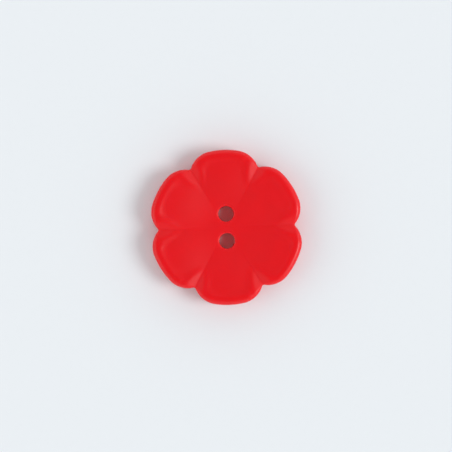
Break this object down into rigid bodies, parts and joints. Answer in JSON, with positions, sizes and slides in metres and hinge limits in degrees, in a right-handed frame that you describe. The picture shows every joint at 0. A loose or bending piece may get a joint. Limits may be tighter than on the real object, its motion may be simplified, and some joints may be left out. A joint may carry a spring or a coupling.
{
  "type": "flower-shaped sew-through button",
  "caption": "Flower-shaped sew-through button with rounded petals, creases between them, a low rim, a sunken centre, thread holes and a flat back.",
  "frame": {"origin": "centre of the flat back, midway between the two thread holes, on the plane that the button rests on", "axes": "+Z out of the front along the petals' axis of symmetry; +Y along the line of the two holes to the tip of a petal"},
  "size_m": [0.0192, 0.02, 0.0032],
  "materials": {
    "red_plastic": "opaque red polyester, satin gloss"
  },
  "bodies": {
    "root": {"flower_button": "red_plastic"}
  },
  "joints": []
}
